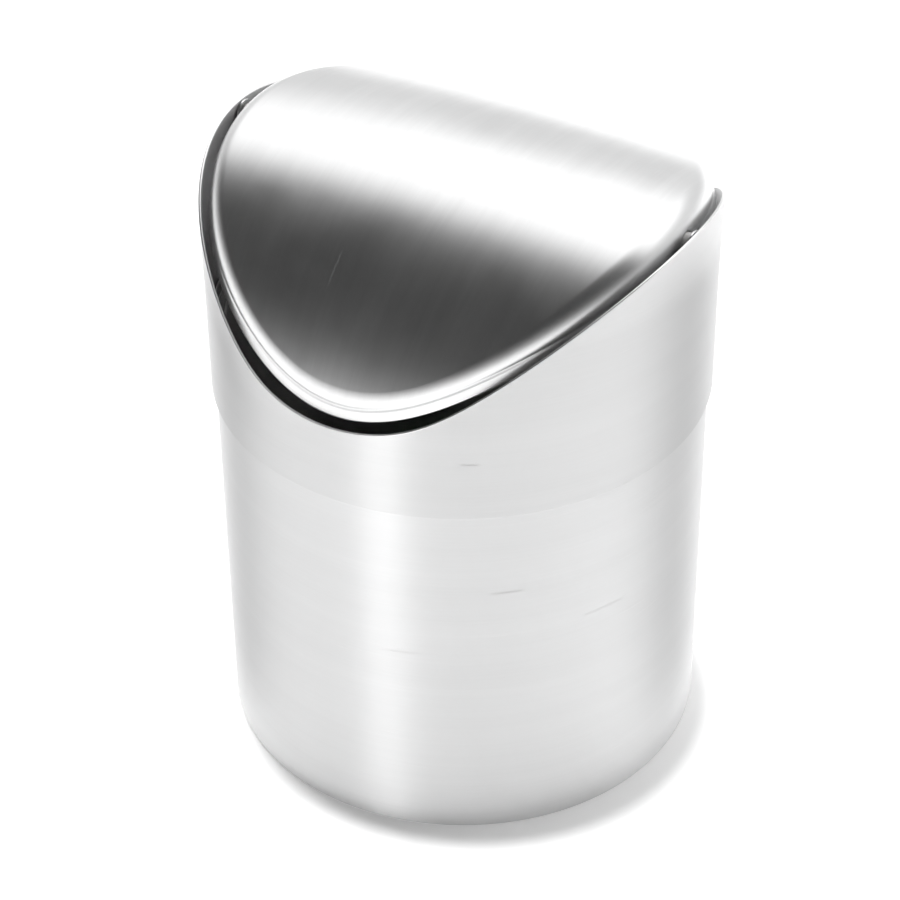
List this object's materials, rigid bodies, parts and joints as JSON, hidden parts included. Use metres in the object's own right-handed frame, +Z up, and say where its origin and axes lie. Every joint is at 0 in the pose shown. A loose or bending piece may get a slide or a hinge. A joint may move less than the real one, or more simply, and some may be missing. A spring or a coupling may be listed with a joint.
{
  "type": "wastebasket",
  "caption": "Small round countertop bin: straight can, slip-on collar with a saddle-cut rim, and a vaulted lid that swings on two side pivots.",
  "frame": {"origin": "centre of the base, on the floor plane", "axes": "+Z up, front at -Y, lid pivot line along X"},
  "size_m": [0.121, 0.1202, 0.1575],
  "materials": {
    "can_steel": "brushed around the can",
    "base_steel": "plain mill finish",
    "collar_steel": "brushed around the band",
    "seat_steel": "plain mill finish",
    "lid_steel": "fine satin brushed along the pivot line",
    "stud_steel": "turned",
    "bush_nylon": "natural nylon",
    "nut_steel": "spring steel"
  },
  "bodies": {
    "can": {"can_wall": "can_steel", "can_base": "base_steel"},
    "collar": {"collar": "collar_steel", "seat_ring": "seat_steel", "pivot_stud_right": "stud_steel", "pivot_stud_left": "stud_steel", "push_nut_right": "nut_steel", "push_nut_left": "nut_steel"},
    "lid": {"lid": "lid_steel", "pivot_bush_right": "bush_nylon", "pivot_bush_left": "bush_nylon"}
  },
  "joints": [
    {"name": "collar_lift", "type": "slide", "parent": "can", "child": "collar", "axis": [0, 0, 1], "range_m": [0, 0.06]},
    {"name": "lid_swing", "type": "hinge", "parent": "collar", "child": "lid", "pos_m": [0, 0, 0.1488], "axis": [1, 0, 0], "continuous": true}
  ]
}
